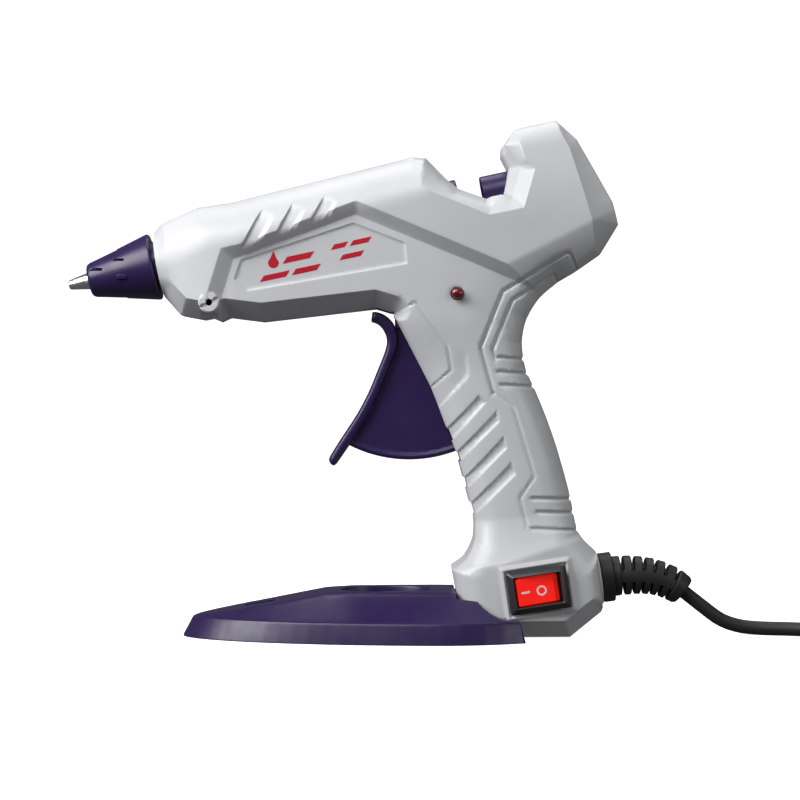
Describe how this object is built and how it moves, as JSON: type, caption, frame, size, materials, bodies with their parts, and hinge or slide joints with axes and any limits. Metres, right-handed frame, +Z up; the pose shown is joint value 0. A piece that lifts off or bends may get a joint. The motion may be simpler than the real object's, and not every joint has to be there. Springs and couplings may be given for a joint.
{
  "type": "hot-melt glue gun",
  "caption": "Hot-melt glue gun with a trigger-fed stick carriage, rocker switch, indicator light, clip-on stand with a drip tray, and a coiled mains lead with a plug.",
  "frame": {"origin": "bottom centre of the box round the gun and its stand, without the mains lead, on the surface it stands on", "axes": "+Z up, the nozzle points to -X, the grip leans towards +X at its foot, the switch and indicator light face -Y"},
  "size_m": [0.3488, 0.0936, 0.1831],
  "materials": {
    "silver_plastic": "satin moulded plastic, pale silver grey",
    "purple_plastic": "satin-gloss moulded plastic, very dark purple",
    "black_plastic": "semi-gloss moulded plastic",
    "black_rubber": "soft matt cable rubber",
    "red_plastic": "gloss moulded plastic",
    "red_lens": "clear dark red, glossy",
    "aluminium": "turned and die cast, satin",
    "steel": "plain, lightly brushed",
    "brass": "stamped",
    "plug_metal": "nickel plated, bright",
    "ceramic": "white fired ceramic",
    "silicone": "translucent white silicone, soft",
    "board": "coated glass-fibre board",
    "wire": "silicone wire cover"
  },
  "bodies": {
    "gun": {"casing_left": "silver_plastic", "casing_right": "silver_plastic", "nozzle_tip": "aluminium", "nozzle_cover": "purple_plastic", "melt_chamber": "aluminium", "ptc_heater": "ceramic", "heater_clip": "steel", "inlet_sleeve": "silicone", "sleeve_clamp": "steel", "stick_guide": "purple_plastic", "trigger_pin": "steel", "return_spring": "steel", "switch_body": "black_plastic", "switch_terminal_1": "brass", "switch_terminal_2": "brass", "led_lens": "red_lens", "indicator_board": "board", "heater_wire_line": "wire", "heater_wire_neutral": "wire", "cord_clamp": "black_plastic", "cord_inner_end": "black_rubber", "strain_relief": "black_rubber", "mains_cord": "black_rubber", "cord_coil": "black_rubber", "cord_tie": "black_plastic", "cord_tail": "black_rubber", "plug_body": "black_rubber", "plug_pin_1": "plug_metal", "plug_pin_2": "plug_metal", "case_screw_1": "steel", "case_screw_2": "steel", "case_screw_3": "steel", "case_screw_4": "steel", "case_screw_5": "steel"},
    "trigger": {"trigger": "purple_plastic"},
    "carriage": {"feed_carriage": "purple_plastic", "gripper_pin": "steel"},
    "gripper": {"stick_gripper": "steel"},
    "rocker": {"switch_rocker": "red_plastic"},
    "stand": {"stand": "purple_plastic"}
  },
  "joints": [
    {"name": "trigger_pivot", "type": "hinge", "parent": "gun", "child": "trigger", "pos_m": [0.0238, 0, 0.1096], "axis": [0, -1, 0], "range_deg": [0, 18], "stiffness_Nm_per_rad": 0.5, "springref_deg": -11.46, "deforming": ["return_spring"]},
    {"name": "carriage_slide", "type": "slide", "parent": "gun", "child": "carriage", "axis": [-0.9774, 0, -0.2113], "range_m": [0, 0.013]},
    {"name": "gripper_tilt", "type": "hinge", "parent": "carriage", "child": "gripper", "pos_m": [0.03282, 0, 0.1424], "axis": [0, 1, 0], "range_deg": [0, 6]},
    {"name": "rocker_tilt", "type": "hinge", "parent": "gun", "child": "rocker", "pos_m": [0.0687, -0.02, 0.0179], "axis": [0.1461, 0, -0.9893], "range_deg": [0, 19]},
    {"name": "stand_slide", "type": "slide", "parent": "gun", "child": "stand", "axis": [-1, 0, 0], "range_m": [0, 0.03]}
  ],
  "couplings": [
    {"joint": "carriage_slide", "follows": "trigger_pivot", "m_per_rad": 0.0409},
    {"joint": "gripper_tilt", "follows": "trigger_pivot", "ratio": 0.3}
  ]
}
